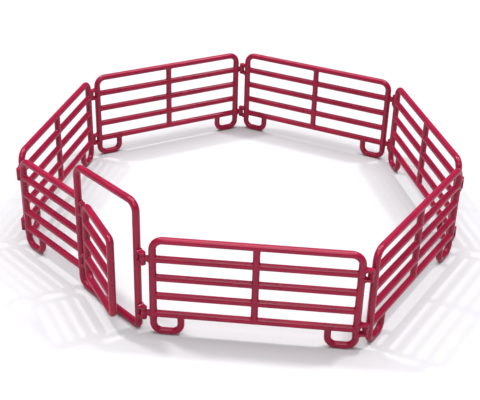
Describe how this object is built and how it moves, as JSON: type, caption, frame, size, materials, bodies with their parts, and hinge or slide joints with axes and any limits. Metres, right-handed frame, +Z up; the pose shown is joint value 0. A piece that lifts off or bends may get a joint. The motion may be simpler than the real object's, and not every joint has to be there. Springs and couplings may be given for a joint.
{
  "type": "toy livestock corral with swing gate",
  "caption": "Ring of hinged rail panels on looped feet, closed around a pen, with an arched doorway section that carries a swinging rail gate.",
  "frame": {"origin": "middle of the doorway threshold's underside, on the ground", "axes": "+X along the gate section towards its hinge-pin end, +Y into the pen, +Z up"},
  "size_m": [0.4055, 0.4007, 0.1199],
  "materials": {
    "moulded_plastic": "satin-gloss injection-moulded plastic, crimson"
  },
  "bodies": {
    "gate_section": {"arch_hinge_pin_loops": "moulded_plastic", "arch_posts": "moulded_plastic", "arch_top": "moulded_plastic", "gate_pin_loops": "moulded_plastic", "threshold": "moulded_plastic", "wing_end_post": "moulded_plastic", "wing_foot_loop": "moulded_plastic", "wing_hinge_clips": "moulded_plastic", "wing_lower_rails": "moulded_plastic", "wing_top_rail": "moulded_plastic"},
    "gate_leaf": {"gate_free_stile": "moulded_plastic", "gate_hinge_clips": "moulded_plastic", "gate_hinge_stile": "moulded_plastic", "gate_latch_nub": "moulded_plastic", "gate_rails": "moulded_plastic"},
    "panel_1": {"panel_1_end_posts": "moulded_plastic", "panel_1_foot_loops": "moulded_plastic", "panel_1_hinge_clips": "moulded_plastic", "panel_1_hinge_pin_loops": "moulded_plastic", "panel_1_lower_rails": "moulded_plastic", "panel_1_middle_upright": "moulded_plastic", "panel_1_top_rail": "moulded_plastic"},
    "panel_2": {"panel_2_end_posts": "moulded_plastic", "panel_2_foot_loops": "moulded_plastic", "panel_2_hinge_clips": "moulded_plastic", "panel_2_hinge_pin_loops": "moulded_plastic", "panel_2_lower_rails": "moulded_plastic", "panel_2_middle_upright": "moulded_plastic", "panel_2_top_rail": "moulded_plastic"},
    "panel_3": {"panel_3_end_posts": "moulded_plastic", "panel_3_foot_loops": "moulded_plastic", "panel_3_hinge_clips": "moulded_plastic", "panel_3_hinge_pin_loops": "moulded_plastic", "panel_3_lower_rails": "moulded_plastic", "panel_3_middle_upright": "moulded_plastic", "panel_3_top_rail": "moulded_plastic"},
    "panel_4": {"panel_4_end_posts": "moulded_plastic", "panel_4_foot_loops": "moulded_plastic", "panel_4_hinge_clips": "moulded_plastic", "panel_4_hinge_pin_loops": "moulded_plastic", "panel_4_lower_rails": "moulded_plastic", "panel_4_middle_upright": "moulded_plastic", "panel_4_top_rail": "moulded_plastic"},
    "panel_5": {"panel_5_end_posts": "moulded_plastic", "panel_5_foot_loops": "moulded_plastic", "panel_5_hinge_clips": "moulded_plastic", "panel_5_hinge_pin_loops": "moulded_plastic", "panel_5_lower_rails": "moulded_plastic", "panel_5_middle_upright": "moulded_plastic", "panel_5_top_rail": "moulded_plastic"},
    "panel_6": {"panel_6_end_posts": "moulded_plastic", "panel_6_foot_loops": "moulded_plastic", "panel_6_hinge_clips": "moulded_plastic", "panel_6_hinge_pin_loops": "moulded_plastic", "panel_6_lower_rails": "moulded_plastic", "panel_6_middle_upright": "moulded_plastic", "panel_6_top_rail": "moulded_plastic"}
  },
  "joints": [
    {"name": "gate_swing", "type": "hinge", "parent": "gate_section", "child": "gate_leaf", "pos_m": [-0.0326, 0, 0.0192], "axis": [0, 0, -1], "range_deg": [-16.5, 83.5]},
    {"name": "panel_1_swing", "type": "hinge", "parent": "gate_section", "child": "panel_1", "pos_m": [0.0452, 0, 0.0192], "axis": [0, 0, -1], "range_deg": [0, 90]},
    {"name": "panel_2_swing", "type": "hinge", "parent": "panel_1", "child": "panel_2", "pos_m": [0.17582, 0.11556, 0.0192], "axis": [0, 0, -1], "range_deg": [0, 90]},
    {"name": "panel_3_swing", "type": "hinge", "parent": "panel_2", "child": "panel_3", "pos_m": [0.1354, 0.28521, 0.0192], "axis": [0, 0, -1], "range_deg": [0, 90]},
    {"name": "panel_6_swing", "type": "hinge", "parent": "gate_section", "child": "panel_6", "pos_m": [-0.1292, 0, 0.0192], "axis": [0, 0, 1], "range_deg": [0, 90]},
    {"name": "panel_5_swing", "type": "hinge", "parent": "panel_6", "child": "panel_5", "pos_m": [-0.2247, 0.14593, 0.0192], "axis": [0, 0, 1], "range_deg": [0, 90]},
    {"name": "panel_4_swing", "type": "hinge", "parent": "panel_5", "child": "panel_4", "pos_m": [-0.17535, 0.31321, 0.0192], "axis": [0, 0, 1], "range_deg": [0, 90]}
  ]
}
